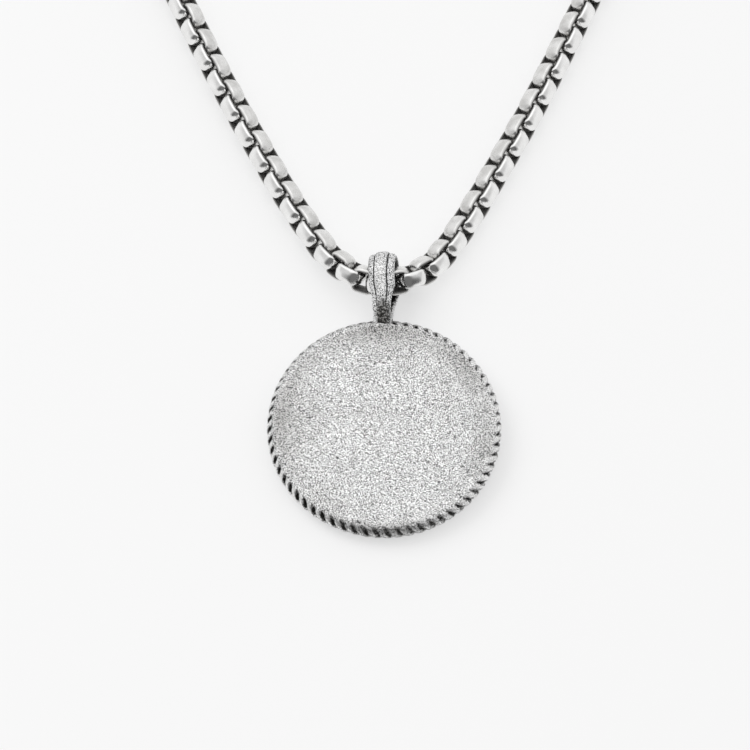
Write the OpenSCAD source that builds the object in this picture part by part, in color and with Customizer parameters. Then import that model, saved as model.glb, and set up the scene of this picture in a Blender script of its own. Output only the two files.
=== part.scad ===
// Round medallion pendant with a rope edge and a ridged bail, strung on a round box chain.
// The necklace lies face up on a level surface at z = 0. X runs across the loop,
// Y from the medallion towards the clasp, Z up. All sizes are in millimetres.

/* [Medallion] */
// Diameter over the rope edge
disc_d = 25; // [22:0.5:30]
// Thickness of the rope edge
rope_t = 2.0; // [1.6:0.1:2.6]
// How far the rope edge stands proud of the flat back
back_step = 0.1; // [0.05:0.05:0.3]
// Height of the gentle dome on the front
dome_h = 0.3; // [0.15:0.05:0.6]

/* [Bail] */
// Outer radius of the bail's crown, seen from the side
bail_r = 2.75; // [2.7:0.05:3.2]
// Thickness of the band under the middle ridge
band_t = 0.7; // [0.6:0.05:0.7]
// Distance from the medallion's edge up to the centre of the crown
bail_rise = 5.2; // [5.2:0.1:8]
// Width of the band at the crown
band_w_top = 2.8; // [2.4:0.1:3.4]
// Width of the band where it meets the medallion
band_w_base = 1.6; // [1.2:0.1:1.8]
// Width of the middle ridge
ridge_w = 1.2; // [0.9:0.05:1.3]
// Width of each incised groove
groove_w = 0.18; // [0.1:0.02:0.3]
// Depth of the grooves below the side ridges
groove_t = 0.14; // [0.08:0.02:0.2]
// How much lower the side ridges are than the middle one
shoulder = 0.14; // [0.05:0.01:0.2]
// Turn of the bail about the pendant's long axis, towards the left, in degrees
bail_turn = 8; // [0:1:10]

/* [Chain] */
// Outer diameter of the chain
chain_d = 3.1; // [2.6:0.1:3.1]
// Radius of the round far end of the loop
loop_r = 69; // [55:1:90]

/* [Clasp] */
// Diameter of the barrel
clasp_d = 4.6; // [4.4:0.1:6]
// Length of the barrel
clasp_len = 15; // [12:0.5:20]
// Depth of each end bore that takes the chain
clasp_bore = 2.2; // [1.5:0.1:3]
// Clearance round the chain in the end bores
clasp_gap = 0.12; // [0.1:0.02:0.2]

/* [Hidden] */
$fn = 96;

// ---- Pose of the pendant: its bail and its far edge both rest on the surface ----
rope_r = rope_t / 2;                       // radius of the rope's cross-section
ring_r = disc_d / 2 - rope_r;              // radius of the rope's centre line
crown_y = disc_d / 2 + bail_rise;          // centre of the bail's crown, from the medallion's centre
mid_half = ridge_w / 2;
rest_r = bail_r * cos(bail_turn) + mid_half * sin(bail_turn); // crown centre to surface
lean = asin((rest_r - rope_r) / (crown_y + ring_r));
disc_z = rope_r + ring_r * sin(lean);      // height of the medallion's centre
bail_y = crown_y * cos(lean);
bail_z = disc_z + crown_y * sin(lean);

// ---- Route of the chain ----
chain_r = chain_d / 2;
// Height of the chain's centre in the bail: just clear of the band below it
chain_z = bail_z - 0.05;
// Visible stretch, left to right. Columns: x, y above the lowest point, rise (0 on the
// surface, 1 as high as in the bail)
VISIBLE = [
    [-22.7, 36.3, 0], [-20.3, 30.8, 0], [-17.9, 25.6, 0], [-15.5, 20.6, 0], [-13.0, 15.7, 0],
    [-10.7, 11.3, 0], [-8.9, 8.2, 0], [-7.4, 5.7, 0.15], [-5.9, 3.4, 0.4], [-4.2, 1.6, 0.75],
    [-2.2, 0.4, 0.95], [0, 0, 1], [2.2, 0.3, 1.05],
    [4.2, 1.3, 0.75], [6.0, 3.2, 0.4], [7.5, 5.5, 0.15], [9.0, 8.1, 0], [10.7, 11.2, 0],
    [13.1, 15.8, 0], [15.5, 20.5, 0], [17.9, 25.6, 0], [20.3, 30.9, 0], [22.7, 36.3, 0]
];
end_x = 22.7;              // where the visible stretch ends, on either side
end_y = 36.3;
side_a = 24.3;             // slope of the straight sides, in degrees from the Y axis
chain_y = bail_y - 0.4;    // lowest point of the chain

// The straight sides run on to a round end that they meet as tangents
apex_y = end_y - end_x / tan(side_a);
arc_y = apex_y + loop_r / sin(side_a);
side_steps = ceil((loop_r / tan(side_a) - end_x / sin(side_a)) / 9);
arc_steps = 15;
arc_top = 78;              // last angle of the arc before the clasp
clasp_y = arc_y + loop_r - 0.4;
clasp_z = clasp_d / 2;
mouth_x = clasp_len / 2;
seat_x = mouth_x - clasp_bore + 0.2;

function level(rise) = chain_r + (chain_z - chain_r) * rise;
// One side of the hidden stretch, from the visible part to the clasp, for x > 0
function far_side() = concat(
    [for (i = [1 : side_steps])
        let (t = i / (side_steps + 1))
        [end_x + (loop_r * cos(side_a) - end_x) * t,
         end_y + (arc_y - loop_r * sin(side_a) - end_y) * t,
         chain_r]],
    [for (i = [0 : arc_steps])
        let (a = -side_a + (arc_top + side_a) * i / arc_steps)
        [loop_r * cos(a), arc_y + loop_r * sin(a),
         chain_r + (clasp_z - chain_r) * 0.5 * (i == arc_steps ? 1 : 0)]],
    [[mouth_x + 1, clasp_y, clasp_z], [seat_x, clasp_y, clasp_z]]
);
function flip_x(p) = [-p[0], p[1], p[2]];
function reversed(v) = [for (i = [len(v) - 1 : -1 : 0]) v[i]];
FAR = far_side();
ROUTE = concat(
    [for (p = reversed(FAR)) flip_x(p)],
    [for (p = VISIBLE) [p[0], p[1], level(p[2])]],
    FAR
);

// ---- Centre of the whole thing, so that the origin is under the middle of its box ----
y_low = -ring_r * cos(lean) - rope_r;
y_high = chain_y + clasp_y + clasp_d / 2;
mid_y = (y_low + y_high) / 2;

// ---- A tube with eight flat sides, one of them down, along a list of points ----
function unit(v) = v / norm(v);
function heading(v, i) = unit(v[min(i + 1, len(v) - 1)] - v[max(i - 1, 0)]);
function ring_of(p, t, r) =
    let (side = unit(cross([0, 0, 1], t)), up = cross(t, side))
    [for (k = [0 : 7]) let (a = 22.5 + 45 * k)
        p + r / cos(22.5) * (cos(a) * side + sin(a) * up)];
module tube(v, r) {
    n = len(v);
    points = [for (i = [0 : n - 1]) each ring_of(v[i], heading(v, i), r)];
    sides = [for (i = [0 : n - 2], k = [0 : 7])
        let (a = i * 8 + k, b = i * 8 + (k + 1) % 8)
        each [[a, b, b + 8], [a, b + 8, a + 8]]];
    first = [for (k = [1 : 6]) [0, k + 1, k]];
    last = [for (k = [1 : 6]) [(n - 1) * 8, (n - 1) * 8 + k, (n - 1) * 8 + k + 1]];
    polyhedron(points = points, faces = [for (f = concat(sides, first, last)) [f[2], f[1], f[0]]], convexity = 10);
}

// ---- Medallion: a coin with a gently domed front and a flat back ----
module disc() {
    edge_z = rope_r - 0.08;
    ball_r = (ring_r * ring_r + dome_h * dome_h) / (2 * dome_h);
    color([0.80, 0.80, 0.79]) rotate_extrude($fn = 192) intersection() {
        translate([0, -rope_r + back_step]) square([ring_r, rope_t + dome_h]);
        translate([0, edge_z + dome_h - ball_r]) circle(r = ball_r, $fn = 720);
    }
}

// ---- Rope edge: a round bead that runs round the coin ----
module rope_edge() {
    color([0.66, 0.66, 0.65]) rotate_extrude($fn = 192) translate([ring_r, 0]) circle(r = rope_r, $fn = 48);
}

// ---- Bail: a tapered band bent into a loop, with two grooves that leave three ridges ----
base_y = disc_d / 2 - 0.9;     // the legs run this far into the medallion
base_half = rope_r - 0.1;      // half the depth of the two legs at the base
eye_y = disc_d / 2 + 0.85;     // narrow end of the eye
eye_r = 0.35;

// Outline of the loop from the side, in the plane of depth and length
module loop_outline(r) {
    d = norm([crown_y - base_y, base_half]);
    alpha = atan2(base_half, base_y - crown_y);
    beta = acos(r / d);
    tx = crown_y + r * cos(alpha - beta);
    ty = r * sin(alpha - beta);
    union() {
        translate([crown_y, 0]) circle(r = r);
        polygon([[crown_y, 0], [tx, ty], [base_y, base_half], [base_y, -base_half], [tx, -ty]]);
    }
}
// The eye that the chain passes through
module eye_outline() {
    r = bail_r - band_t;
    g = asin((r - eye_r) / (crown_y - eye_y));
    union() {
        translate([crown_y, 0]) circle(r = r);
        translate([eye_y, 0]) circle(r = eye_r, $fn = 24);
        polygon([
            [crown_y - r * sin(g), r * cos(g)], [crown_y - r * sin(g), -r * cos(g)],
            [eye_y - eye_r * sin(g), -eye_r * cos(g)], [eye_y - eye_r * sin(g), eye_r * cos(g)]
        ]);
    }
}
// A slab of the loop between two x positions
module slab(x0, x1, r) {
    translate([x0, 0, 0]) rotate([90, 0, 90]) linear_extrude(height = x1 - x0) difference() {
        loop_outline(r);
        eye_outline();
    }
}
module bail() {
    w = band_w_top / 2;
    color([0.76, 0.76, 0.75]) rotate([0, -bail_turn, 0]) intersection() {
        union() {
            slab(-w, w, bail_r - shoulder - groove_t);
            slab(-mid_half, mid_half, bail_r);
            for (s = [-1, 1])
                slab(s > 0 ? mid_half + groove_w : -w, s > 0 ? w : -mid_half - groove_w, bail_r - shoulder);
        }
        translate([0, 0, -2 * bail_r]) linear_extrude(height = 4 * bail_r) polygon([
            [-band_w_base / 2, base_y], [band_w_base / 2, base_y],
            [0.32 * band_w_top, crown_y - 4.6], [0.38 * band_w_top, crown_y - 3.3], [w, crown_y - 2],
            [w, crown_y + 2.1], [w - 0.45, crown_y + bail_r], [0.45 - w, crown_y + bail_r],
            [-w, crown_y + 2.1], [-w, crown_y - 2], [-0.38 * band_w_top, crown_y - 3.3],
            [-0.32 * band_w_top, crown_y - 4.6]
        ]);
    }
}

// Medallion, rope edge and bail are one piece of metal
module pendant() {
    translate([0, -mid_y, disc_z]) rotate([lean, 0, 0]) union() {
        disc();
        rope_edge();
        bail();
    }
}

// Round box chain, as one tube along its whole route
module chain() {
    color([0.86, 0.86, 0.86]) translate([0, chain_y - mid_y, 0]) tube(ROUTE, chain_r);
}

// Barrel clasp in one plain piece, with a bore at each end for the chain
module clasp() {
    r = clasp_d / 2;
    bore_r = chain_r / cos(22.5) + clasp_gap;
    color([0.84, 0.84, 0.84]) translate([0, chain_y + clasp_y - mid_y, clasp_z]) rotate([0, 90, 0]) difference() {
        rotate_extrude() polygon([
            [0, -mouth_x], [r - 0.25, -mouth_x], [r, -mouth_x + 0.25], [r, -0.9], [r - 0.2, -0.7], [r - 0.2, 0.7],
            [r, 0.9], [r, mouth_x - 0.25], [r - 0.25, mouth_x], [0, mouth_x]
        ]);
        for (s = [-1, 1]) translate([0, 0, s * mouth_x]) cylinder(r = bore_r, h = 2 * clasp_bore, center = true);
    }
}

pendant();
chain();
clasp();
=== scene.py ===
"""Round medallion pendant with a rope edge, on a round box chain with a barrel clasp.

The necklace lies face up on a pale floor. Lengths in the helper functions are in millimetres and
are turned into metres when a mesh is made.
"""
import math

import bmesh
import bpy
import numpy as np
from mathutils import Matrix, Vector


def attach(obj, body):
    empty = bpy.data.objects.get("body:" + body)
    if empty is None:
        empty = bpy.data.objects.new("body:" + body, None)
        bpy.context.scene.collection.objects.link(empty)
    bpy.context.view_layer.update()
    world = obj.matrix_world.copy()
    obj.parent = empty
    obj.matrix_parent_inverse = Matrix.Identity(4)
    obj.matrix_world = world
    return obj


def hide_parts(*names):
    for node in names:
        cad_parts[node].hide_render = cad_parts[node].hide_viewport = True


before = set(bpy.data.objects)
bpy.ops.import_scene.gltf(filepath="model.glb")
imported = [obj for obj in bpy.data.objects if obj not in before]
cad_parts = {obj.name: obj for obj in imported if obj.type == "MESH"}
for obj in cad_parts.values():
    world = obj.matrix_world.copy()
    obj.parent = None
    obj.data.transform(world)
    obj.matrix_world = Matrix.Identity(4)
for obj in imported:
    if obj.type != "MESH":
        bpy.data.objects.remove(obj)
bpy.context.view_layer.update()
MM = 0.001
scene = bpy.context.scene

# ---------------------------------------------------------------------------------------------
# Sizes, the same as the part's source
# ---------------------------------------------------------------------------------------------
DISC_R = 12.5
ROPE_R = 1.0
RING_R = DISC_R - ROPE_R
DOME_H = 0.3
BAIL_R = 2.75
BAND_T = 0.7
BAIL_RISE = 5.2
BAIL_TURN = math.radians(8)
MID_HALF = 0.6
CHAIN_R = 1.55
LOOP_R = 69.0
CLASP_R = 2.3
CLASP_LEN = 15.0
CLASP_BORE = 2.2

CROWN_Y = DISC_R + BAIL_RISE
REST_R = BAIL_R * math.cos(BAIL_TURN) + MID_HALF * math.sin(BAIL_TURN)
LEAN = math.asin((REST_R - ROPE_R) / (CROWN_Y + RING_R))
DISC_Z = ROPE_R + RING_R * math.sin(LEAN)
BAIL_Y = CROWN_Y * math.cos(LEAN)
BAIL_Z = DISC_Z + CROWN_Y * math.sin(LEAN)
CHAIN_Z = BAIL_Z - 0.05
CHAIN_Y = BAIL_Y - 0.4

# visible stretch of the chain, left to right: x, y above its lowest point, rise
VISIBLE = [
    (-22.7, 36.3, 0), (-20.3, 30.8, 0), (-17.9, 25.6, 0), (-15.5, 20.6, 0), (-13.0, 15.7, 0),
    (-10.7, 11.3, 0), (-8.9, 8.2, 0), (-7.4, 5.7, 0.15), (-5.9, 3.4, 0.4), (-4.2, 1.6, 0.75),
    (-2.2, 0.4, 0.95), (0, 0, 1), (2.2, 0.3, 1.05),
    (4.2, 1.3, 0.75), (6.0, 3.2, 0.4), (7.5, 5.5, 0.15), (9.0, 8.1, 0), (10.7, 11.2, 0),
    (13.1, 15.8, 0), (15.5, 20.5, 0), (17.9, 25.6, 0), (20.3, 30.9, 0), (22.7, 36.3, 0)]
END_X, END_Y = 22.7, 36.3
SIDE_A = math.radians(24.3)
ARC_Y = END_Y - END_X / math.tan(SIDE_A) + LOOP_R / math.sin(SIDE_A)
CLASP_Y = ARC_Y + LOOP_R - 0.4
MID_Y = ((-RING_R * math.cos(LEAN) - ROPE_R) + (CHAIN_Y + CLASP_Y + CLASP_R)) / 2


def chain_route():
    """The chain's route in the row frame, in millimetres."""
    steps = math.ceil((LOOP_R / math.tan(SIDE_A) - END_X / math.sin(SIDE_A)) / 9)
    far = []
    for i in range(1, steps + 1):
        t = i / (steps + 1)
        far.append((END_X + (LOOP_R * math.cos(SIDE_A) - END_X) * t,
                    END_Y + (ARC_Y - LOOP_R * math.sin(SIDE_A) - END_Y) * t, CHAIN_R))
    for i in range(16):
        a = -SIDE_A + (math.radians(78) + SIDE_A) * i / 15
        far.append((LOOP_R * math.cos(a), ARC_Y + LOOP_R * math.sin(a),
                    CHAIN_R + (CLASP_R - CHAIN_R) * 0.5 * (i == 15)))
    mouth = CLASP_LEN / 2
    far += [(mouth + 1, CLASP_Y, CLASP_R), (mouth - CLASP_BORE + 0.2, CLASP_Y, CLASP_R)]
    seen = [(x, y, CHAIN_R + (CHAIN_Z - CHAIN_R) * rise) for x, y, rise in VISIBLE]
    route = np.array([(-x, y, z) for x, y, z in reversed(far)] + seen + far, float)
    route[:, 1] += CHAIN_Y - MID_Y
    return route


def smooth_curve(points, count):
    """A natural cubic spline through the points: positions at equal steps, and their length."""
    n = len(points)
    u = np.concatenate([[0], np.cumsum(np.linalg.norm(np.diff(points, axis=0), axis=1))])
    h = np.diff(u)
    a = np.zeros((n, n))
    b = np.zeros((n, 3))
    a[0, 0] = a[-1, -1] = 1
    for i in range(1, n - 1):
        a[i, i - 1], a[i, i], a[i, i + 1] = h[i - 1], 2 * (h[i - 1] + h[i]), h[i]
        b[i] = 6 * ((points[i + 1] - points[i]) / h[i] - (points[i] - points[i - 1]) / h[i - 1])
    m = np.linalg.solve(a, b)
    q = np.linspace(0, u[-1], count)
    i = np.clip(np.searchsorted(u, q) - 1, 0, n - 2)
    hh, ra, rb = h[i][:, None], (u[i + 1] - q)[:, None], (q - u[i])[:, None]
    return (m[i] * ra ** 3 / (6 * hh) + m[i + 1] * rb ** 3 / (6 * hh)
            + (points[i] / hh - m[i] * hh / 6) * ra + (points[i + 1] / hh - m[i + 1] * hh / 6) * rb)


def smoothstep(t):
    t = np.clip(t, 0, 1)
    return t * t * (3 - 2 * t)


def pendant_to_row(p):
    """From the pendant's own frame (x across, y towards the bail, z out of the face) to the row."""
    c, s = math.cos(LEAN), math.sin(LEAN)
    p = np.asarray(p, float)
    return np.stack([p[..., 0], p[..., 1] * c - p[..., 2] * s - MID_Y,
                     p[..., 1] * s + p[..., 2] * c + DISC_Z], -1)


# ---------------------------------------------------------------------------------------------
# Camera, at the photograph's angle to the medallion
# ---------------------------------------------------------------------------------------------
VIEW_E = math.radians(63.0)
VIEW_D = 600.0
FOCAL_PX = 9.4 * VIEW_D
view_dir = np.array([0, -math.cos(VIEW_E), math.sin(VIEW_E)])
view_right = np.array([1.0, 0, 0])
view_up = np.cross(view_dir, view_right)
target = np.array([0, -MID_Y, DISC_Z])
off_x = (384.25 - 375) / FOCAL_PX * VIEW_D
off_y = -(428.5 - 375) / FOCAL_PX * VIEW_D
cam_pos = target + view_dir * VIEW_D - view_right * off_x - view_up * off_y
cam_data = bpy.data.cameras.new("camera")
cam_data.sensor_width = 36.0
cam_data.lens = FOCAL_PX / 750 * 36.0
cam_data.clip_start = 0.02
cam_data.clip_end = 20.0
camera = bpy.data.objects.new("camera", cam_data)
scene.collection.objects.link(camera)
rot = Matrix((view_right, view_up, view_dir)).transposed().to_4x4()
camera.matrix_world = Matrix.Translation(Vector(cam_pos * MM)) @ rot
scene.camera = camera


# ---------------------------------------------------------------------------------------------
# Mesh helpers
# ---------------------------------------------------------------------------------------------
def make_object(name, verts_mm, faces, attributes=None, sharp=40.0):
    """A mesh object from vertices in millimetres, in the row frame."""
    mesh = bpy.data.meshes.new(name)
    verts = np.asarray(verts_mm, float) * MM
    sizes = np.array([len(f) for f in faces]) if not isinstance(faces, np.ndarray) else None
    mesh.vertices.add(len(verts))
    mesh.vertices.foreach_set("co", verts.astype(np.float32).ravel())
    if sizes is None:
        k = faces.shape[1]
        loops = faces.ravel()
        starts = np.arange(0, len(loops), k)
        totals = np.full(len(faces), k)
    else:
        loops = np.concatenate([np.asarray(f) for f in faces])
        starts = np.concatenate([[0], np.cumsum(sizes)[:-1]])
        totals = sizes
    mesh.loops.add(len(loops))
    mesh.loops.foreach_set("vertex_index", loops.astype(np.int32))
    mesh.polygons.add(len(starts))
    mesh.polygons.foreach_set("loop_start", starts.astype(np.int32))
    mesh.polygons.foreach_set("loop_total", totals.astype(np.int32))
    mesh.polygons.foreach_set("use_smooth", np.ones(len(starts), bool))
    for key, values in (attributes or {}).items():
        layer = mesh.attributes.new(key, "FLOAT", "POINT")
        layer.data.foreach_set("value", np.asarray(values, np.float32))
    mesh.update(calc_edges=True)
    mesh.validate()
    # every shell's faces are turned outwards
    shells = bmesh.new()
    shells.from_mesh(mesh)
    bmesh.ops.recalc_face_normals(shells, faces=shells.faces)
    shells.to_mesh(mesh)
    shells.free()
    if sharp:
        mesh.set_sharp_from_angle(angle=math.radians(sharp))
    obj = bpy.data.objects.new(name, mesh)
    scene.collection.objects.link(obj)
    return obj


def grid_faces(rows, cols, wrap_rows, wrap_cols, flip=False, base=0):
    """Quads of a grid of rows x cols vertices."""
    r = np.arange(rows if wrap_rows else rows - 1)
    c = np.arange(cols if wrap_cols else cols - 1)
    rr, cc = np.meshgrid(r, c, indexing="ij")
    r2, c2 = (rr + 1) % rows, (cc + 1) % cols
    quads = np.stack([rr * cols + cc, r2 * cols + cc, r2 * cols + c2, rr * cols + c2], -1).reshape(-1, 4)
    return (quads[:, ::-1] if flip else quads) + base


def hash_noise(x, y, seed):
    """Smooth repeatable noise from a few crossing waves, about -1 to 1."""
    rng = np.random.default_rng(seed)
    total = np.zeros(np.broadcast(x, y).shape)
    for i in range(10):
        a = rng.uniform(0, 2 * math.pi)
        f = rng.uniform(0.6, 1.7)
        total += np.sin(f * (x * math.cos(a) + y * math.sin(a)) + rng.uniform(0, 2 * math.pi))
    return total / 4.0


# ---------------------------------------------------------------------------------------------
# Materials
# ---------------------------------------------------------------------------------------------
def new_material(name):
    mat = bpy.data.materials.new(name)
    mat.use_nodes = True
    nt = mat.node_tree
    nt.nodes.clear()
    out = nt.nodes.new("ShaderNodeOutputMaterial")
    bsdf = nt.nodes.new("ShaderNodeBsdfPrincipled")
    nt.links.new(bsdf.outputs["BSDF"], out.inputs["Surface"])
    return mat, nt, bsdf


def node(nt, kind, **values):
    n = nt.nodes.new(kind)
    for key, value in values.items():
        if key.startswith("in_"):
            n.inputs[key[3:]].default_value = value
        else:
            setattr(n, key, value)
    return n


def noise(nt, coords, scale, detail=2.0, rough=0.5, distortion=0.0):
    n = node(nt, "ShaderNodeTexNoise")
    n.inputs["Scale"].default_value = scale
    n.inputs["Detail"].default_value = detail
    n.inputs["Roughness"].default_value = rough
    n.inputs["Distortion"].default_value = distortion
    nt.links.new(coords, n.inputs["Vector"])
    return n.outputs["Fac"]


def ramp(nt, value, stops, interpolation="LINEAR"):
    r = nt.nodes.new("ShaderNodeValToRGB")
    r.color_ramp.interpolation = interpolation
    els = r.color_ramp.elements
    while len(els) > 1:
        els.remove(els[-1])
    for i, (pos, col) in enumerate(stops):
        e = els[0] if i == 0 else els.new(pos)
        e.position = pos
        if not hasattr(col, "__len__"):
            col = (col, col, col)
        e.color = (*col[:3], 1)
    nt.links.new(value, r.inputs["Fac"])
    return r.outputs["Color"]


def mth(nt, op, a, b=None, clamp=False):
    m = node(nt, "ShaderNodeMath", operation=op, use_clamp=clamp)
    for i, v in enumerate((a, b)):
        if v is None:
            continue
        if isinstance(v, (int, float)):
            m.inputs[i].default_value = v
        else:
            nt.links.new(v, m.inputs[i])
    return m.outputs[0]


def mix_rgb(nt, fac, a, b, blend="MIX"):
    m = node(nt, "ShaderNodeMix", data_type="RGBA", blend_type=blend)
    for key, v in (("Factor", fac), ("A", a), ("B", b)):
        sock = [s for s in m.inputs if s.name == key and s.enabled][0]
        if hasattr(v, "is_output"):
            nt.links.new(v, sock)
        elif hasattr(v, "__len__"):
            sock.default_value = (*v[:3], 1)
        else:
            sock.default_value = v
    return [s for s in m.outputs if s.enabled][0]


def attribute(nt, name):
    a = node(nt, "ShaderNodeAttribute", attribute_type="GEOMETRY", attribute_name=name)
    return a.outputs["Fac"]


def polished_silver():
    """Bright silver with painted shade in the recesses, with very fine polishing marks."""
    mat, nt, bsdf = new_material("polished_silver")
    coords = nt.nodes.new("ShaderNodeTexCoord").outputs["Object"]
    recess = attribute(nt, "recess")
    cloud = noise(nt, coords, 900, 2.0, 0.5)
    fine = noise(nt, coords, 9000, 2.0, 0.6)
    bright = ramp(nt, cloud, [(0.30, (0.80, 0.797, 0.79)), (0.70, (0.91, 0.908, 0.902))])
    # painted shade: the odd links, whose plates lie in the inner row, are made darker, and also rougher
    dull_and_shaded = mth(nt, "MULTIPLY", attribute(nt, "dull_and_shaded"), ramp(nt, cloud, [(0.35, 1.0), (0.60, 0.6)]))
    bright = mix_rgb(nt, dull_and_shaded, bright, mix_rgb(nt, 1.0, bright, (0.80, 0.797, 0.79), "MULTIPLY"))
    # painted shade in the recesses
    edge = mth(nt, "ADD", recess, mth(nt, "MULTIPLY", mth(nt, "SUBTRACT", fine, 0.5), 0.12), clamp=True)
    dark = ramp(nt, edge, [(0.12, 0.0), (0.75, 1.0)])
    colour = mix_rgb(nt, dark, bright, (0.19, 0.187, 0.182))
    nt.links.new(colour, bsdf.inputs["Base Color"])
    rough = ramp(nt, cloud, [(0.3, 0.13), (0.7, 0.20)])
    rough = mix_rgb(nt, dull_and_shaded, rough, (0.30, 0.30, 0.30))
    nt.links.new(mix_rgb(nt, dark, rough, (0.62, 0.62, 0.62)), bsdf.inputs["Roughness"])
    bsdf.inputs["Metallic"].default_value = 1.0
    bump = node(nt, "ShaderNodeBump", in_Strength=0.25, in_Distance=0.000006)
    nt.links.new(noise(nt, coords, 2600, 2.0, 0.5), bump.inputs["Height"])
    nt.links.new(bump.outputs["Normal"], bsdf.inputs["Normal"])
    return mat


def antique_silver():
    """Sandblasted silver with a cloudy tone, painted shade in the recesses and near the edge, and painted highlights.
    """
    mat, nt, bsdf = new_material("antique_silver")
    coords = nt.nodes.new("ShaderNodeTexCoord").outputs["Object"]
    recess = attribute(nt, "recess")
    shade_sheen_and_wear = attribute(nt, "shade_sheen_and_wear")
    fine = node(nt, "ShaderNodeVectorMath", operation="MULTIPLY")
    nt.links.new(coords, fine.inputs[0])
    fine.inputs[1].default_value = (0.78, 1.0, 1.0)
    fine = fine.outputs["Vector"]
    grain = noise(nt, fine, 12100, 0.6, 0.5, 0.3)
    mottle = noise(nt, coords, 4600, 1.0, 0.5)
    cell = node(nt, "ShaderNodeTexVoronoi", in_Scale=13800.0)
    nt.links.new(fine, cell.inputs["Vector"])
    shade = node(nt, "ShaderNodeSeparateColor")
    nt.links.new(cell.outputs["Color"], shade.inputs["Color"])
    grit = mth(nt, "ADD", 0.15, mth(nt, "MULTIPLY", shade.outputs[0], 0.7))
    cloud = noise(nt, coords, 330, 3.0, 0.55)
    speck = mth(nt, "ADD", mth(nt, "MULTIPLY", grain, 0.78), mth(nt, "MULTIPLY", grit, 0.22))
    base = ramp(nt, speck, [(0.412, 0.04), (0.464, 0.38), (0.506, 0.94), (0.55, 1.0)])
    clouds = ramp(nt, cloud, [(0.30, 0.88), (0.72, 1.0)])
    base = mix_rgb(nt, 1.0, base, clouds, "MULTIPLY")
    # painted highlights and worn crests lighten the silver, painted shade darkens it
    highlight_and_wear = mth(nt, "MULTIPLY", shade_sheen_and_wear, -0.75, clamp=True)
    base = mix_rgb(nt, highlight_and_wear, base, (0.98, 0.975, 0.965))
    painted_shade = mth(nt, "MULTIPLY", shade_sheen_and_wear, mth(nt, "ADD", 0.55, mth(nt, "MULTIPLY", cloud, 0.9)), clamp=True)
    base = mix_rgb(nt, painted_shade, base, mix_rgb(nt, 1.0, base, (0.42, 0.41, 0.395), "MULTIPLY"))
    # painted shade in the recesses, broken up by the grain
    flecks = mth(nt, "ADD", mth(nt, "SUBTRACT", speck, 0.5), mth(nt, "SUBTRACT", mottle, 0.5))
    deep = mth(nt, "ADD", recess, mth(nt, "MULTIPLY", flecks, 1.9), clamp=True)
    deep = mth(nt, "MULTIPLY", deep, mth(nt, "MULTIPLY", recess, 6.0, clamp=True))
    dark = ramp(nt, deep, [(0.22, 0.0), (0.72, 1.0)])
    base = mix_rgb(nt, dark, base, (0.030, 0.029, 0.027))
    nt.links.new(base, bsdf.inputs["Base Color"])
    nt.links.new(ramp(nt, speck, [(0.38, 0.62), (0.62, 0.30)]), bsdf.inputs["Roughness"])
    bsdf.inputs["Metallic"].default_value = 1.0
    bump = node(nt, "ShaderNodeBump", in_Strength=0.8, in_Distance=0.000027)
    nt.links.new(speck, bump.inputs["Height"])
    nt.links.new(bump.outputs["Normal"], bsdf.inputs["Normal"])
    return mat


def floor_material():
    mat, nt, bsdf = new_material("pale_floor")
    bsdf.inputs["Base Color"].default_value = (0.36, 0.36, 0.36, 1)
    bsdf.inputs["Roughness"].default_value = 0.9
    bsdf.inputs["Specular IOR Level"].default_value = 0.0
    bsdf.inputs["Emission Color"].default_value = (1, 1, 1, 1)
    bsdf.inputs["Emission Strength"].default_value = 0.545
    return mat


POLISHED = polished_silver()
ANTIQUE = antique_silver()


# ---------------------------------------------------------------------------------------------
# Chain: real links of a round box chain
# ---------------------------------------------------------------------------------------------
LINK_L = 3.30      # outer length of a link
LINK_W = 3.07      # outer width, crown to crown
LINK_S = 1.75      # width of the strip that a link is bent from
LINK_T = 0.70      # thickness of the end walls at their crown
LINK_TS = 0.56     # thickness of the side plates at their crown
EDGE_PLATE = 0.21  # thickness at the strip's edge, as a share of the crown's, in the plates
EDGE_END = 0.20    # the same in the end walls
SHOULDER = 0.62    # where a plate's arc rolls over to its rim, from the middle of the strip
PLATE_H = 1.50     # height of a plate's crown from the link's middle
PLATE_ARC = 2.5    # radius of a plate across the strip
PITCH_LEFT = 1.783
PITCH_RIGHT = 1.79


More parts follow.
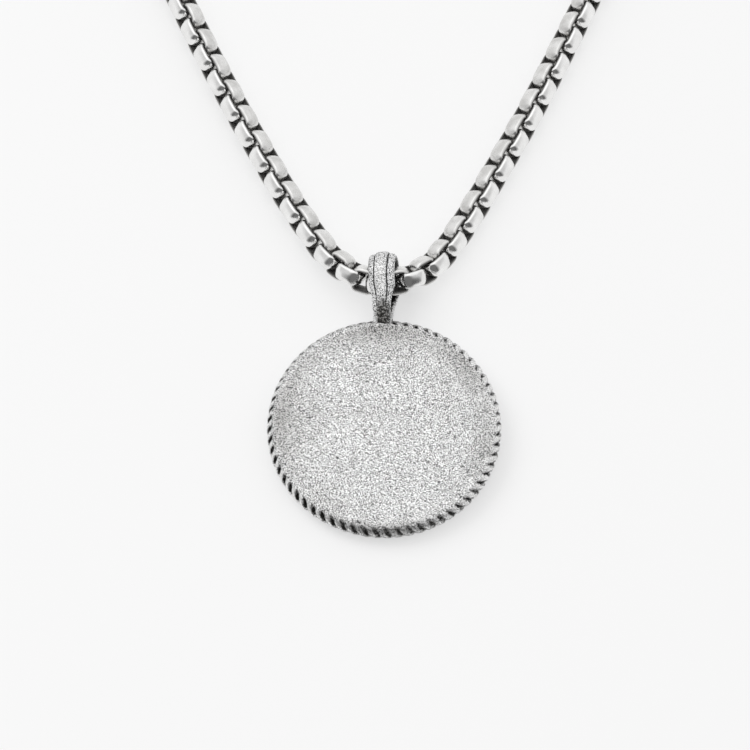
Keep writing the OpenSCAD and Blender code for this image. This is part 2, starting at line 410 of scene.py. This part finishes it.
def link_mesh(around=48):
    """One link: a D-shaped strip bent into a rounded box. x runs along the chain, y is the
    direction its two plates face, z the direction its open sides face."""
    th = np.linspace(0, 2 * math.pi, around, endpoint=False) + math.pi / around
    c, s = np.cos(th), np.sin(th)

    def contour(a, b, n):
        return np.stack([a * np.sign(c) * np.abs(c) ** (2 / n), b * np.sign(s) * np.abs(s) ** (2 / n)], -1)

    outer = contour(LINK_L / 2, LINK_W / 2, 2.95)
    inner = contour(LINK_L / 2 - LINK_T, LINK_W / 2 - LINK_TS, 10.0)
    # section of the strip: across (z), how far out (0 inside, 1 the strip's edge, 2 the rounded
    # outside), and how much painted shade it gets
    half = LINK_S / 2
    section = [(0.0, 0, 1.0), (half - 0.30, 0, 1.0), (half - 0.02, 0.2, 1.0), (half, 0.5, 1.0), (half, 1, 0.5)]
    section += [(z, 2, 0.0) for z in (0.864, 0.834, 0.78, 0.70, 0.55, 0.34, 0.12)]
    section += [(-z, 2, 0.0) for z in (0.12, 0.34, 0.55, 0.70, 0.78, 0.834, 0.864)]
    section += [(-half, 1, 0.5), (-half, 0.5, 1.0), (-half + 0.02, 0.2, 1.0), (-half + 0.30, 0, 1.0)]
    sec = np.array(section)
    zs = np.abs(sec[None, :, 0])
    # in the end walls the outside is a full half round, in the plates an arc with rounded shoulders
    end = smoothstep((np.abs(c) - 0.60) / 0.32)[:, None]
    edge = EDGE_PLATE + (EDGE_END - EDGE_PLATE) * end
    bow = edge + (1 - edge) * (1 - np.minimum(zs / half, 1) ** 2.35) ** (1 / 2.35)
    sag = PLATE_ARC - np.sqrt(PLATE_ARC ** 2 - np.minimum(zs, SHOULDER) ** 2)
    rise = (PLATE_H - sag - (LINK_W / 2 - LINK_TS)) / LINK_TS
    over = np.clip((zs - SHOULDER) / (half - SHOULDER), 0, 1)
    rise = edge + (rise - edge) * np.sqrt(1 - over ** 2)
    outside = rise + (bow - rise) * end
    height = np.where(sec[None, :, 1] > 1.5, outside, edge * sec[None, :, 1])
    pts = inner[:, None, :] + (outer - inner)[:, None, :] * height[..., None]
    z = np.broadcast_to(sec[None, :, 0], pts.shape[:2])
    verts = np.concatenate([pts, z[..., None]], -1).reshape(-1, 3)
    recess = np.broadcast_to(sec[None, :, 2], pts.shape[:2]).copy()
    # the inside of a plate is lighter at its rim, where it catches some light
    rim = smoothstep((np.abs(sec[None, :, 0]) - 0.3) / 0.5) * smoothstep((0.85 - np.abs(pts[..., 0])) / 0.45)
    recess *= 1 - 0.85 * rim * (np.abs(sec[None, :, 0]) < 0.8)
    # the thin edges of the end walls get no painted shade
    recess *= 1 - end * (np.abs(sec[None, :, 0]) > half - 0.05)
    # and the lower part of the plates' side walls gets painted shade
    wall = np.interp(np.abs(sec[None, :, 0]), [0.80, 0.834, 0.864, half], [0.0, 0.10, 0.36, 0.80])
    wall = wall * (1 - end) * (sec[None, :, 1] >= 1)
    faces = grid_faces(around, len(sec), True, True)
    return verts, recess.ravel(), wall.ravel(), faces


curve = smooth_curve(chain_route(), 60001)
arc = np.concatenate([[0], np.cumsum(np.linalg.norm(np.diff(curve, axis=0), axis=1))])
curve_mid = arc[np.argmin(np.abs(curve[:, 0]))]
tangent = np.gradient(curve, arc, axis=0)
tangent /= np.linalg.norm(tangent, axis=1)[:, None]

# centres of the links near the bail, along the chain from its middle, where they lie closer
# together; even ones show their plates in the outer row, odd ones in the inner row
NEAR = {-8: -14.16, -7: -12.42, -6: -10.64, -5: -8.80, -4: -7.06, -3: -5.24, -2: -3.76, -1: -2.12, 0: -0.40,
        1: 1.35, 2: 2.95, 3: 4.58, 4: 6.15, 5: 7.64, 6: 9.44, 7: 11.18, 8: 13.02}


def link_stations():
    first, last = min(NEAR), max(NEAR)
    ks, ss = list(NEAR), list(NEAR.values())
    k, s = first, NEAR[first]
    while s - PITCH_LEFT > -curve_mid + 1.5:
        k, s = k - 1, s - PITCH_LEFT
        ks.append(k), ss.append(s)
    k, s = last, NEAR[last]
    while s + PITCH_RIGHT < arc[-1] - curve_mid - 1.5:
        k, s = k + 1, s + PITCH_RIGHT
        ks.append(k), ss.append(s)
    order = np.argsort(ss)
    return np.array(ks)[order], np.array(ss)[order]


def link_roll(s):
    """Turn of an even link's plates from straight up towards the inside of the loop, in degrees."""
    return -53.7 + 9.0 * np.exp(-(s / 5.0) ** 2)


ks, ss = link_stations()
proto, proto_recess, proto_wall, proto_faces = link_mesh()
centres = np.stack([np.interp(ss + curve_mid, arc, curve[:, i]) for i in range(3)], -1)
centres[:, 0] *= 1 - 0.0015 * smoothstep((np.abs(centres[:, 0]) - 45) / 20)
along = np.stack([np.interp(ss + curve_mid, arc, tangent[:, i]) for i in range(3)], -1)
along /= np.linalg.norm(along, axis=1)[:, None]
side = np.cross([0, 0, 1.0], along)
side /= np.linalg.norm(side, axis=1)[:, None]
up = np.cross(along, side)
roll = np.radians(link_roll(ss) + 90 * (ks % 2))
jit = np.random.default_rng(7)
roll += np.radians(jit.normal(0, 0.8, len(ks)))
plate = np.cos(roll)[:, None] * up + np.sin(roll)[:, None] * side
opening = np.cross(along, plate)
# the few links that crowd together by the bail are a little shorter
room = np.minimum(np.concatenate([[9, 9], ss[2:] - ss[:-2]]), np.concatenate([ss[2:] - ss[:-2], [9, 9]]))
length = np.minimum(1.0, (room - 0.13) / LINK_L)

# the side walls get less painted shade near the bail
wall_dark = 1 - 0.85 * np.exp(-(ss / 2.4) ** 4)
# the links sag a little where they pass through the bail
centres[:, 1] -= 0.24 * np.exp(-(ss / 2.6) ** 2) + 0.14 * np.exp(-((ss + 2.0) / 1.1) ** 2)
lowest = (centres[:, None, 2] + proto[None, :, 0] * (along * length[:, None])[:, None, 2]
          + proto[None, :, 1] * plate[:, None, 2] + proto[None, :, 2] * opening[:, None, 2]).min()
centres[:, 2] += max(0.0, 0.002 - lowest)

PIECES = 4
groups = np.array_split(np.arange(len(ks)), PIECES)
for g, idx in enumerate(groups):
    v = (centres[idx, None, :] + proto[None, :, 0:1] * (along * length[:, None])[idx, None, :]
         + proto[None, :, 1:2] * plate[idx, None, :] + proto[None, :, 2:3] * opening[idx, None, :])
    f = (proto_faces[None] + (np.arange(len(idx)) * len(proto))[:, None, None]).reshape(-1, 4)
    # the links carry painted shade inside them, and the odd links are painted darker as shade
    piece = make_object(f"chain_links_{g + 1}", v.reshape(-1, 3), f,
                        {"recess": np.maximum(proto_recess, proto_wall * wall_dark[idx, None]).ravel(),
                         "dull_and_shaded": np.repeat(ks[idx] % 2, len(proto))}, sharp=50)
    piece.data.materials.append(POLISHED)
    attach(piece, "root")
    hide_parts("chain")
print("links", len(ks), "triangles", len(ks) * len(proto_faces) * 2)


# ---------------------------------------------------------------------------------------------
# Medallion: domed face, fluted rope edge and flat back, as one skin
# ---------------------------------------------------------------------------------------------
STRANDS = 64
PER_STRAND = 16
FINE = STRANDS * PER_STRAND
COARSE = FINE // 4


# grooves of the rope round the disc, from the right anticlockwise in degrees: the share of a strand
# that gets painted shade at the inner and at the outer side, how dark that shade is, and how much painted highlight and
# wear the crests get
GROOVE_AT = [0, 40, 75, 100, 150, 180, 225, 255, 275, 290, 320, 360]
GROOVE_CUT = [0.36, 0.40, 0.42, 0.40, 0.40, 0.42, 0.40, 0.30, 0.26, 0.28, 0.36, 0.36]
GROOVE_IN = [0.28, 0.34, 0.60, 0.36, 0.36, 0.48, 0.54, 0.58, 0.54, 0.42, 0.20, 0.28]
GROOVE_OUT = [0.62, 0.52, 0.80, 0.46, 0.46, 0.58, 0.62, 0.62, 0.60, 0.62, 0.66, 0.62]
GROOVE_DARK = [0.50, 0.48, 0.90, 0.85, 0.80, 0.84, 0.78, 0.62, 0.60, 0.58, 0.52, 0.50]
GROOVE_SHINE = [0.8, 0.8, 0.6, 0.6, 0.8, 1.0, 1.0, 0.2, 0.0, 0.3, 0.9, 0.8]
GROOVE_LAY = [3.3, 3.3, 3.3, 3.3, 3.3, 3.1, 3.2, 3.3, 2.8, 2.8, 3.3, 3.3]


def medallion():
    edge_z = ROPE_R - 0.08
    ball_r = (RING_R ** 2 + DOME_H ** 2) / (2 * DOME_H)

    def dome(r):
        return edge_z + DOME_H - ball_r + math.sqrt(ball_r ** 2 - r * r)

    # across one strand, finer towards the grooves on both sides
    v = np.linspace(-1, 1, PER_STRAND, endpoint=False)
    u = np.tile(np.sin(v * math.pi / 2) * 0.75 + v * 0.25, STRANDS)
    slot = np.repeat(np.arange(STRANDS), PER_STRAND)

    # profile from the face's edge round the rope to the back: radius, z, angle round the rope
    prof = [(r, dome(r), 98.0) for r in (10.6, 10.9, 11.15)]
    for a in np.linspace(98, -98, 33):
        rr = RING_R + (ROPE_R - 0.003) * math.cos(math.radians(a))
        zz = ROPE_R * math.sin(math.radians(a))
        if a > 80 and rr < RING_R:
            zz = max(zz, dome(rr))
        prof.append((rr, zz, a))
    prof += [(11.1, -ROPE_R + 0.1, -98.0), (10.6, -ROPE_R + 0.1, -98.0)]
    verts, recess, crest_wear_and_sheen, rows_phi = [], [], [], []
    for i, (r, z, a) in enumerate(prof):
        psi = math.radians(90 - a)
        base_phi = 2 * math.pi * slot / STRANDS
        lay = np.interp(np.degrees(base_phi), GROOVE_AT, GROOVE_LAY)
        phi = (2 * math.pi * slot + math.pi * u + lay * (psi - 0.75) + 2 * 0.75 + math.pi) / STRANDS
        rows_phi.append(phi)
        lower = 0.5 - 0.5 * np.sin(phi)                       # 1 at the bottom of the disc, 0 by the bail
        upper = smoothstep((np.sin(base_phi) - 0.05) / 0.4) * smoothstep((np.cos(base_phi) + 0.02) / 0.15)
        start = 66 + 16 * lower + 9 * np.exp(-((np.degrees(base_phi) - 325) / 30) ** 2) + 17 * upper
        depth = smoothstep((start - a) / (34.0 - 12 * upper)) * smoothstep((a + 84) / 30.0)
        depth = depth * (1 - 0.52 * np.exp(-((phi - math.radians(122)) / math.radians(34)) ** 2))
        swell = 0.6 * (1 - np.sqrt(1 - (0.96 * np.abs(u)) ** 2)) + 0.4 * np.abs(u) ** 3
        cut = depth * np.interp(np.degrees(base_phi), GROOVE_AT, GROOVE_CUT) * swell
        n_r, n_z = (math.cos(math.radians(a)), math.sin(math.radians(a))) if 3 <= i < len(prof) - 2 else (0, 1)
        if not 3 <= i < len(prof) - 2:
            cut = cut * 0
            depth = depth * 0
        rr, zz = r - n_r * cut, z - n_z * cut
        verts.append(np.stack([rr * np.cos(phi), rr * np.sin(phi), zz + 0 * phi], -1))
        deg = np.degrees(base_phi)
        w_in = np.interp(deg, GROOVE_AT, GROOVE_IN)
        w_out = np.interp(deg, GROOVE_AT, GROOVE_OUT)
        wide = w_in + (w_out - w_in) * smoothstep((80 - a) / 60.0)
        left = smoothstep((-np.cos(phi) - 0.1) / 0.6)
        fade = smoothstep((a - (-14 + 11 * left + 52 * upper)) / 18.0)
        dark = np.interp(deg, GROOVE_AT, GROOVE_DARK)
        # painted shade in the grooves between the strands
        recess.append(dark * depth * fade * smoothstep((np.abs(u) - (1 - wide)) / (wide * 0.35 + 0.03)))
        # painted highlight, with some wear, on the strands' crests
        shine = np.interp(deg, GROOVE_AT, GROOVE_SHINE)
        crest_wear_and_sheen.append(shine * np.clip(depth * 1.3, 0, 1) * smoothstep((1 - wide * 0.9 - np.abs(u)) / 0.3))
    rows = len(prof)
    verts = np.concatenate(verts)
    recess = np.concatenate(recess)
    crest_wear_and_sheen = np.concatenate(crest_wear_and_sheen)
    faces = [tuple(q) for q in grid_faces(rows, FINE, False, True, flip=True)]

    def disc_part(z_of, start_row, radii, front):
        nonlocal verts, recess, faces
        cphi = rows_phi[start_row][::4]
        base = len(verts)
        new = [np.stack([r * np.cos(cphi), r * np.sin(cphi), np.full(COARSE, z_of(r))], -1) for r in radii]
        centre = base + len(radii) * COARSE
        verts = np.concatenate([verts] + new + [np.array([[0, 0, z_of(0)]])])
        recess = np.concatenate([recess, np.zeros(len(radii) * COARSE + 1)])
        for i in range(COARSE):
            f = [start_row * FINE + (i * 4 + k) % FINE for k in range(5)]
            c0, c1 = base + i, base + (i + 1) % COARSE
            tri = [(c0, f[0], f[1]), (c0, f[1], f[2]), (c0, f[2], c1), (c1, f[2], f[3]), (c1, f[3], f[4])]
            faces.extend([q if front else q[::-1] for q in tri])
        for q in grid_faces(len(radii), COARSE, False, True, flip=not front, base=base):
            faces.append(tuple(q))
        last = base + (len(radii) - 1) * COARSE
        for i in range(COARSE):
            q = (centre, last + i, last + (i + 1) % COARSE)
            faces.append(q if front else q[::-1])

    inner = list(np.arange(10.3, 0.4, -0.33)) + [0.2]
    disc_part(dome, 0, inner, True)
    disc_part(lambda r: -ROPE_R + 0.1, rows - 1, [10.2, 9, 7.5, 6, 4.5, 3, 1.5, 0.5], False)
    r = np.hypot(verts[:, 0], verts[:, 1])
    # gentle unevenness of the cast face
    face = smoothstep((11.2 - r) / 1.5) * (verts[:, 2] > 0)
    verts[:, 2] += face * (0.016 * hash_noise(verts[:, 0] * 0.9, verts[:, 1] * 0.9, 3)
                           + 0.008 * hash_noise(verts[:, 0] * 2.6, verts[:, 1] * 2.6, 4))
    x, y = verts[:, 0], verts[:, 1]
    crest_wear_and_sheen = np.concatenate([crest_wear_and_sheen, np.zeros(len(verts) - len(crest_wear_and_sheen))])
    # painted shade in a ring near the face's edge, more towards the bail
    shade_sheen = (0.20 + 0.10 * y / DISC_R) * smoothstep((r - 8.8) / 2.4) * (1 - smoothstep((r - 11.3) / 0.6))
    # painted shade on the rope along the bottom
    ang = np.arctan2(y, x)
    low = np.exp(-((ang + math.radians(90)) / math.radians(30)) ** 2) * smoothstep((r - 11.2) / 0.5)
    shade_sheen += 0.5 * low
    for px, py, size, amount in SHADE_PATCHES:
        shade_sheen += amount * np.exp(-(((x - px) ** 2 + (y - py) ** 2) / size ** 2))
    return verts, faces, recess, np.clip(shade_sheen, 0, 1) - crest_wear_and_sheen


# soft patches of painted shade on the face, with a painted highlight where the amount is below zero: x, y, size, amount
SHADE_PATCHES = [(-12.0, 0.6, 4.2, 0.40), (9.0, -7.0, 3.0, 0.04), (0.6, 11.4, 4.0, 0.34), (8.6, 6.4, 3.6, 0.22),
           (10.9, -2.6, 2.2, 0.24),
           (2.0, -3.0, 5.4, -0.30), (-5.0, -8.0, 3.0, 0.10)]


# ---------------------------------------------------------------------------------------------
# Bail: a grooved band bent into a loop whose two legs run into the medallion
# ---------------------------------------------------------------------------------------------
BASE_Y = DISC_R - 0.9
BASE_HALF = ROPE_R - 0.1
EYE_Y = DISC_R + 0.85
EYE_R = 0.35


def outline_points(r, base_half, base_y, count):
    """Half of the loop's side outline: from the base, up one leg and round to the crown's top."""
    d = math.hypot(CROWN_Y - base_y, base_half)
    alpha = math.atan2(base_half, base_y - CROWN_Y)
    beta = math.acos(r / d)
    a0 = alpha - beta
    ty, tz = CROWN_Y + r * math.cos(a0), r * math.sin(a0)
    leg = math.hypot(ty - base_y, tz - base_half)
    total = leg + r * a0
    pts = []
    for t in np.linspace(0, total, count):
        if t < leg:
            k = t / leg
            pts.append((base_y + (ty - base_y) * k, base_half + (tz - base_half) * k))
        else:
            a = a0 - (t - leg) / r
            pts.append((CROWN_Y + r * math.cos(a), r * math.sin(a)))
    return np.array(pts)


def half_width(y):
    """Half the band's width at a height along the pendant."""
    ys = [BASE_Y, DISC_R + 0.3, CROWN_Y - 4.6, CROWN_Y - 3.3, CROWN_Y - 2.0, CROWN_Y + 1.2, CROWN_Y + BAIL_R]
    ws = [1.04, 0.88, 0.97, 1.09, 1.39, 1.46, 1.45]
    return np.interp(y, ys, ws)


def bail():
    half = 64
    outer = outline_points(BAIL_R, BASE_HALF, BASE_Y, half)
    inner = outline_points(BAIL_R - BAND_T, EYE_R * 0.55, DISC_R + 0.45, half)
    outer = np.concatenate([outer, (outer * [1, -1])[-2::-1]])
    inner = np.concatenate([inner, (inner * [1, -1])[-2::-1]])
    n = len(outer)
    # across the band, on the outside: share of the half width, and height below the crown line
    across = [(-1.0, 0.66), (-0.995, 0.58), (-0.97, 0.49), (-0.92, 0.40), (-0.85, 0.33), (-0.76, 0.28), (-0.66, 0.25),
              (-0.57, 0.235), (-0.535, 0.25), (-0.505, 0.38), (-0.48, 0.38), (-0.45, 0.12), (-0.42, 0.07),
              (-0.34, 0.03), (-0.2, 0.01), (0.0, 0.0)]
    across = across + [(-x, d) for x, d in across[-2::-1]]
    across = np.array(across)
    m = len(across)
    # painted shade in the two grooves along the band
    deep = np.array([0.0] * m)
    plain = np.interp(np.abs(across[:, 0]), [0, 0.42, 0.57, 0.8, 0.945, 1.0], [0, 0.05, 0.10, 0.17, 0.27, 0.55])
    for i, (x, d) in enumerate(across):
        ax = abs(x)
        deep[i] = 0.72 if 0.47 < ax < 0.52 else (0.30 if 0.44 < ax < 0.55 else 0.0)
    under = np.linspace(1.0, -1.0, 9)
    verts, recess = [], []
    for i in range(n):
        o, q = outer[i], inner[i]
        w = half_width(o[0])
        out_dir = o - q
        thick = np.linalg.norm(out_dir)
        out_dir = out_dir / thick
        depth_scale = min(1.0, thick / 0.72)
        row = []
        # the grooves run out towards the foot of the legs
        cut = float(smoothstep((o[0] - 13.0) / 1.3))
        lean = -0.13 * float(smoothstep((15.8 - o[0]) / 2.6))
        bow = -0.12 * math.exp(-((o[0] - 16.6) / 1.6) ** 2) if o[1] > 0 else 0.0
        for j, (x, d) in enumerate(across):
            d = plain[j] + (d - plain[j]) * cut
            p = o - out_dir * min(d * depth_scale, thick * 0.9)
            row.append((x * w + lean + bow * min(1.0, (1 - abs(x)) / 0.4), p[0], p[1]))
            recess.append(deep[j] * cut)
        # the inside of the loop gets painted shade, except at its rims
        for x in under:
            round_off = 0.10 * max(0.0, (abs(x) - 0.75) / 0.25) ** 2
            p = q + out_dir * round_off
            row.append((x * w * 0.98 + lean, p[0], p[1]))
            recess.append(0.0 if abs(x) > 0.9 else 0.85)
        verts.extend(row)
    k = m + len(under)
    verts = np.array(verts, float)
    recess = np.array(recess, float)
    faces = [tuple(q) for q in grid_faces(n, k, False, True)]
    faces.append(tuple(range(k))[::-1])
    faces.append(tuple((n - 1) * k + i for i in range(k)))
    c, s = math.cos(-BAIL_TURN), math.sin(-BAIL_TURN)
    x, z = verts[:, 0].copy(), verts[:, 2].copy()
    y = verts[:, 1]
    # painted shade at the foot of the front leg, where it bends down to the disc
    foot = smoothstep((15.3 - y) / 2.6) * (z > 0)
    shade_sheen = 1.0 * foot * smoothstep((1.0 - np.abs(x)) / 0.7)
    # a painted highlight on the ridge in the middle
    shade_sheen -= 0.38 * np.exp(-((y - 16.8) / 1.7) ** 2) * smoothstep((0.75 - np.abs(x + 0.05)) / 0.3) * (z > 0) * (foot < 0.4)
    # more painted shade at the foot, and low on the back leg by the disc
    recess = np.maximum(recess, 0.56 * foot * smoothstep((0.95 - np.abs(x - 0.10)) / 0.5))
    recess = np.maximum(recess, 0.72 * smoothstep((DISC_R + 3.4 - y) / 1.6) * (z < 0) * smoothstep((0.75 - x) / 0.35))
    verts[:, 0] = x * c + z * s
    verts[:, 2] = -x * s + z * c
    return verts, faces, recess, np.clip(shade_sheen, -1, 1)


def build_pendant():
    v, f, rec, shade_sheen = medallion()
    body = make_object("medallion_body", pendant_to_row(v), f, {"recess": rec, "shade_sheen_and_wear": shade_sheen}, sharp=60)
    v, f, rec, shade_sheen = bail()
    loop = make_object("bail_band", pendant_to_row(v), f, {"recess": rec, "shade_sheen_and_wear": shade_sheen}, sharp=50)
    for piece in (body, loop):
        piece.data.materials.append(ANTIQUE)
        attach(piece, "root")
        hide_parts("pendant")


build_pendant()


# ---------------------------------------------------------------------------------------------
# Clasp: a plain barrel with a seam round its middle
# ---------------------------------------------------------------------------------------------
def build_clasp():
    r, half = CLASP_R - 0.003, CLASP_LEN / 2
    bore = 1.72
    side_prof = [(0.12, 0.55, 0.95), (0.16, 0.70, 0.5)]
    # profile: x, radius, and painted shade in the bores and grooves
    prof = [(half - CLASP_BORE, bore, 1.0), (half - 0.5, bore, 1.0), (half - 0.12, bore, 0.9), (half - 0.03, bore + 0.05, 0.45),
            (half, bore + 0.14, 0.1), (half, r - 0.26, 0.0), (half - 0.03, r - 0.13, 0.0), (half - 0.12, r - 0.03, 0.0),
            (half - 0.26, r, 0.0), (half - 0.95, r, 0.0), (half - 1.02, r - 0.02, 0.2), (half - 1.06, r - 0.10, 0.7),
            (half - 1.16, r - 0.10, 0.7), (half - 1.20, r - 0.02, 0.2), (half - 1.27, r, 0.0),
            (3.0, r, 0.0), (0.62, r, 0.0), (0.5, r - 0.02, 0.0), (0.42, r - 0.08, 0.1), (0.34, r - 0.09, 0.1), (0.08, r - 0.09, 0.1),
            (0.045, r - 0.11, 0.5), (0.02, r - 0.2, 0.9)]
    prof = prof + [(-x, rr, d) for x, rr, d in prof[::-1]]
    segs = 96
    a = np.arange(segs) * 2 * math.pi / segs
    verts, recess = [], []
    for x, rr, d in prof:
        verts.append(np.stack([np.full(segs, x), rr * np.cos(a), rr * np.sin(a)], -1))
        recess.append(np.full(segs, d))
    base = len(prof) * segs
    verts.append(np.array([[half - CLASP_BORE, 0, 0], [-half + CLASP_BORE, 0, 0]]))
    recess.append(np.array([1.0, 1.0]))
    verts = np.concatenate(verts)
    faces = [tuple(q) for q in grid_faces(len(prof), segs, False, True, flip=True)]
    for i in range(segs):
        j = (i + 1) % segs
        faces.append((base, i, j))
        faces.append((base + 1, (len(prof) - 1) * segs + j, (len(prof) - 1) * segs + i))
    verts += np.array([0, CHAIN_Y + CLASP_Y - MID_Y, CLASP_R])
    piece = make_object("clasp_barrel", verts, faces, {"recess": np.concatenate(recess)}, sharp=50)
    piece.data.materials.append(POLISHED)
    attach(piece, "root")
    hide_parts("clasp")


build_clasp()


# ---------------------------------------------------------------------------------------------
# Floor and light
# ---------------------------------------------------------------------------------------------
def build_stage():
    size = 3.0
    mesh = bpy.data.meshes.new("floor")
    mesh.from_pydata([(-size, -size, 0), (size, -size, 0), (size, size, 0), (-size, size, 0)], [], [(0, 1, 2, 3)])
    floor = bpy.data.objects.new("floor", mesh)
    scene.collection.objects.link(floor)
    mesh.materials.append(floor_material())
    floor.location.z = -0.00002


build_stage()


def area_light(name, position, aim, size, power, colour=(1, 1, 1)):
    data = bpy.data.lights.new(name, "AREA")
    data.shape = "DISK"
    data.size = size
    data.energy = power
    data.color = colour
    obj = bpy.data.objects.new(name, data)
    scene.collection.objects.link(obj)
    obj.location = position
    obj.rotation_euler = (Vector(aim) - Vector(position)).to_track_quat("-Z", "Y").to_euler()
    obj.visible_glossy = False
    return obj


key = area_light("key", (-0.62, 0.42, 0.72), (0, -0.1, 0), 0.7, 4.7)
# only the medallion and its bail cast the key light's shadow, the chain's is left soft and faint
casters = bpy.data.collections.new("key_shadow_casters")
for name in ("medallion_body", "bail_band"):
    casters.objects.link(bpy.data.objects[name])
key.light_linking.blocker_collection = casters


def build_world():
    """A white studio, a little brighter at the upper left, and open and dim low in front."""
    world = bpy.data.worlds.new("studio")
    scene.world = world
    world.use_nodes = True
    nt = world.node_tree
    nt.nodes.clear()
    out = nt.nodes.new("ShaderNodeOutputWorld")
    bg = nt.nodes.new("ShaderNodeBackground")
    nt.links.new(bg.outputs[0], out.inputs[0])
    coords = nt.nodes.new("ShaderNodeTexCoord").outputs["Generated"]

    def lobe(azimuth, elevation, outer, inner, outside, inside):
        """Soft round patch of the sky, azimuth anticlockwise from the right."""
        az, el = math.radians(azimuth), math.radians(elevation)
        dot = node(nt, "ShaderNodeVectorMath", operation="DOT_PRODUCT")
        nt.links.new(coords, dot.inputs[0])
        dot.inputs[1].default_value = (math.cos(az) * math.cos(el), math.sin(az) * math.cos(el), math.sin(el))
        lo, hi = math.cos(math.radians(outer)), math.cos(math.radians(inner))
        t = mth(nt, "DIVIDE", mth(nt, "SUBTRACT", dot.outputs["Value"], lo), hi - lo, clamp=True)
        return ramp(nt, t, [(0.0, outside), (1.0, inside)], "EASE")

    sep = nt.nodes.new("ShaderNodeSeparateXYZ")
    nt.links.new(coords, sep.inputs[0])
    height = mth(nt, "ADD", mth(nt, "MULTIPLY", sep.outputs["Z"], 0.5), 0.5)
    sky = ramp(nt, height, [(0.49, 0.93), (0.62, 0.93), (0.75, 0.98), (1.0, 1.09)])
    colour = mix_rgb(nt, 1.0, sky, lobe(-90, 7, 65, 41, 1.0, 0.18), "MULTIPLY")
    for azimuth in (-12, -168):
        colour = mix_rgb(nt, 1.0, colour, lobe(azimuth, 28, 26, 8, 1.0, 0.74), "MULTIPLY")
    for azimuth in (-42, -138):
        colour = mix_rgb(nt, 1.0, colour, lobe(azimuth, 9, 22, 6, 1.0, 0.62), "MULTIPLY")
    for azimuth in (15, 165):
        colour = mix_rgb(nt, 1.0, colour, lobe(azimuth, 40, 44, 24, 1.0, 0.93), "MULTIPLY")
    nt.links.new(colour, bg.inputs["Color"])
    bg.inputs["Strength"].default_value = 1.0
    bright = lobe(140, 56, 46, 10, 1.0, 1.15)
    strength = mth(nt, "MULTIPLY", bright, lobe(90, 62, 20, 6, 1.0, 1.2))
    nt.links.new(strength, bg.inputs["Strength"])


build_world()
scene.view_settings.view_transform = "Standard"
scene.view_settings.look = "None"
scene.view_settings.exposure = 0.0
scene.view_settings.gamma = 1.0
